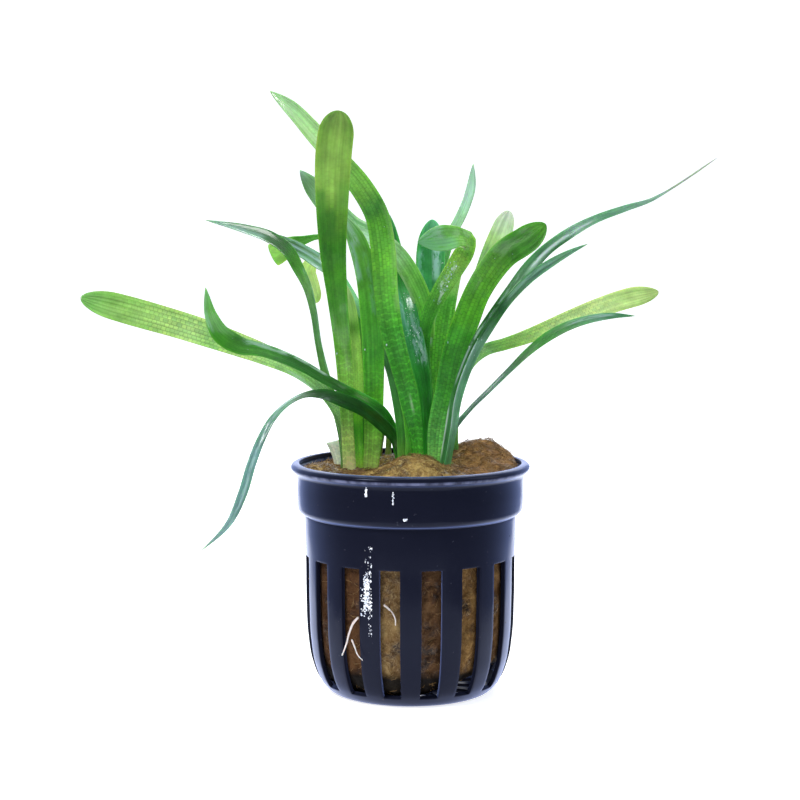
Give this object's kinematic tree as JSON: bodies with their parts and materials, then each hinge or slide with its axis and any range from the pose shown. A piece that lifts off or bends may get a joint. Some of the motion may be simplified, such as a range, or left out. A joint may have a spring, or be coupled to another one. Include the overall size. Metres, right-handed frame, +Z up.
{
  "type": "potted aquarium plant",
  "caption": "Dwarf sagittaria with broad and narrow strap leaves rising from crowns in a mineral wool plug, held in a black slotted net pot.",
  "frame": {"origin": "middle of the pot's flat underside", "axes": "+Z up out of the pot, -Y towards the front that the picture shows, +X to the right"},
  "size_m": [0.1518, 0.074, 0.1394],
  "materials": {
    "pot_plastic": "black moulded plastic, half gloss, wet in places",
    "mineral_wool": "damp brown mineral wool",
    "crown_tissue": "pale fleshy leaf bases",
    "leaf_green": "wet green leaf",
    "leaf_pale": "thin pale green leaf that light shows through",
    "leaf_dark": "dark glossy leaf with a bluish sheen",
    "root_white": "thin pinkish white root"
  },
  "bodies": {
    "root": {"pot": "pot_plastic", "wool": "mineral_wool", "crown_left": "crown_tissue", "crown_middle": "crown_tissue", "crown_right": "crown_tissue", "leaf_tall": "leaf_green", "leaf_second": "leaf_green", "leaf_between": "leaf_pale", "leaf_young_left": "leaf_green", "leaf_pale_left": "leaf_pale", "leaf_arch_left": "leaf_dark", "leaf_folded_left": "leaf_green", "leaf_hanging_tip": "leaf_pale", "leaf_long": "leaf_green", "leaf_parallel": "leaf_green", "leaf_glossy": "leaf_dark", "leaf_crossing": "leaf_dark", "leaf_short_middle": "leaf_green", "leaf_hooked": "leaf_dark", "leaf_drooping": "leaf_dark", "leaf_curled": "leaf_green", "leaf_dark_back": "leaf_dark", "leaf_thin_upright": "leaf_green", "leaf_pale_middle": "leaf_pale", "leaf_broad": "leaf_green", "leaf_pale_tip": "leaf_pale", "leaf_thread_tip": "leaf_green", "leaf_inner_right": "leaf_dark", "leaf_pale_right": "leaf_pale", "leaf_low_right": "leaf_dark", "leaf_stub": "leaf_pale", "stem_upright": "crown_tissue", "stem_leaning": "crown_tissue", "root_outer": "root_white", "root_branch": "root_white", "root_inner": "root_white"}
  },
  "joints": []
}
